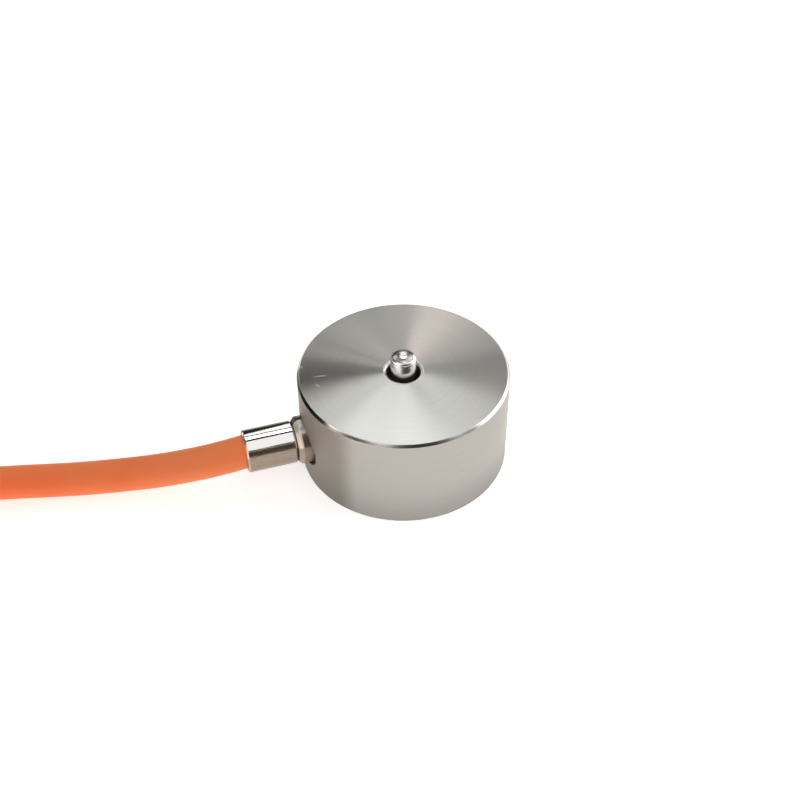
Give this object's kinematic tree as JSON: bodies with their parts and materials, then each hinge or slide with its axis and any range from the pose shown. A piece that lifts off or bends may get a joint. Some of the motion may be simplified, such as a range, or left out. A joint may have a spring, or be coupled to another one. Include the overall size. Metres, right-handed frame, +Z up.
{
  "type": "miniature load cell",
  "caption": "Miniature compression load cell: flat round steel housing with a crowned load button, a crimped side cable entry and a coiled cable with bare tinned ends.",
  "frame": {"origin": "centre of the standing face, on the load axis", "axes": "+Z up along the load axis through the button, -X out along the cable entry"},
  "size_m": [0.104, 0.051, 0.0171],
  "materials": {
    "turned_steel": "fine turned, softly polished",
    "polished_steel": "polished",
    "gauge_film": "clear amber, glossy",
    "gauge_foil": "etched foil, satin",
    "lacquered_wire": "lacquered",
    "board": "solder mask, semi-gloss",
    "solder": "tinned, bright",
    "chip": "ceramic, semi-gloss",
    "braid": "tinned wire",
    "compound": "cast, matt",
    "cable_jacket": "smooth, satin",
    "core_red": "smooth",
    "core_black": "smooth",
    "core_green": "smooth",
    "core_white": "smooth",
    "tie": "satin",
    "shrink_sleeve": "satin"
  },
  "bodies": {
    "root": {"housing": "turned_steel", "spring_body": "polished_steel", "bottom_cover": "turned_steel", "gauge_film_1": "gauge_film", "gauge_film_2": "gauge_film", "gauge_film_3": "gauge_film", "gauge_film_4": "gauge_film", "gauge_grid_1": "gauge_foil", "gauge_grid_2": "gauge_foil", "gauge_grid_3": "gauge_foil", "gauge_grid_4": "gauge_foil", "gauge_wires_1": "lacquered_wire", "gauge_wires_2": "lacquered_wire", "gauge_wires_3": "lacquered_wire", "gauge_wires_4": "lacquered_wire", "terminal_board": "board", "solder_pads": "solder", "trim_resistor_1": "chip", "trim_resistor_2": "chip", "trim_resistor_3": "chip", "cable_entry": "polished_steel", "crimp_sleeve": "polished_steel", "clamped_braid": "braid", "entry_seal": "compound", "core_red": "core_red", "core_black": "core_black", "core_green": "core_green", "core_white": "core_white", "cable_lead": "cable_jacket", "cable_coil": "cable_jacket", "cable_tail": "cable_jacket", "coil_tie_1": "tie", "coil_tie_2": "tie", "coil_tie_3": "tie", "end_shrink": "shrink_sleeve", "end_red": "core_red", "end_black": "core_black", "end_green": "core_green", "end_white": "core_white", "end_shield": "braid", "tinned_tips": "solder"}
  },
  "joints": []
}
